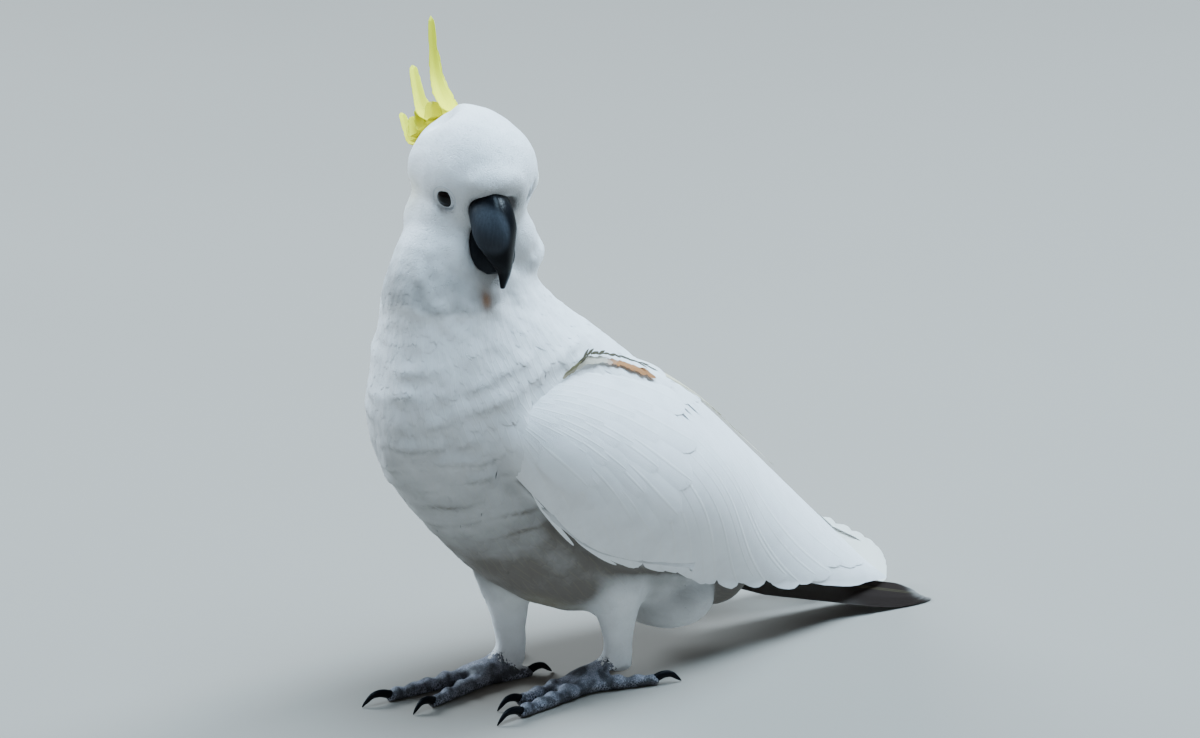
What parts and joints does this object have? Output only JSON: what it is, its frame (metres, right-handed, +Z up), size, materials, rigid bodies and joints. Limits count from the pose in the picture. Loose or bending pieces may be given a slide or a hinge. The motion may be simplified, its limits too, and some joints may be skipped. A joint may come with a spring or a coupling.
{
  "type": "sulphur-crested cockatoo",
  "caption": "Life-size standing white parrot with a curled yellow crest, hooked dark bill, folded wings and tail resting on the floor; a still display model.",
  "frame": {"origin": "middle of the bounding box's bottom face, on the floor between the feet and the tail", "axes": "the bird faces -Y with its head turned to its left, its left side is +X, up is +Z and the tail points to +Y"},
  "size_m": [0.1656, 0.4058, 0.3987],
  "materials": {
    "white_feather": "soft matte feathers",
    "yellow_feather": "soft matte feathers",
    "dark_horn": "satin horn with a powdery bloom",
    "grey_skin": "matte scaly skin",
    "dark_eye": "wet and glossy"
  },
  "bodies": {
    "root": {"bill_lower": "dark_horn", "bill_upper": "dark_horn", "claw_left_inner_back": "dark_horn", "claw_left_inner_front": "dark_horn", "claw_left_outer_back": "dark_horn", "claw_left_outer_front": "dark_horn", "claw_right_inner_back": "dark_horn", "claw_right_inner_front": "dark_horn", "claw_right_outer_back": "dark_horn", "claw_right_outer_front": "dark_horn", "crest_1": "yellow_feather", "crest_2": "yellow_feather", "crest_3": "yellow_feather", "crest_4": "yellow_feather", "crest_5": "yellow_feather", "crest_6": "yellow_feather", "eye_left": "dark_eye", "eye_right": "dark_eye", "head": "white_feather", "neck": "white_feather", "shank_left": "grey_skin", "shank_right": "grey_skin", "tail": "white_feather", "thigh_left": "white_feather", "thigh_right": "white_feather", "toe_left_inner_back": "grey_skin", "toe_left_inner_front": "grey_skin", "toe_left_outer_back": "grey_skin", "toe_left_outer_front": "grey_skin", "toe_right_inner_back": "grey_skin", "toe_right_inner_front": "grey_skin", "toe_right_outer_back": "grey_skin", "toe_right_outer_front": "grey_skin", "trunk": "white_feather", "wing_left_coverts": "white_feather", "wing_left_quills": "white_feather", "wing_right_coverts": "white_feather", "wing_right_quills": "white_feather"}
  },
  "joints": []
}
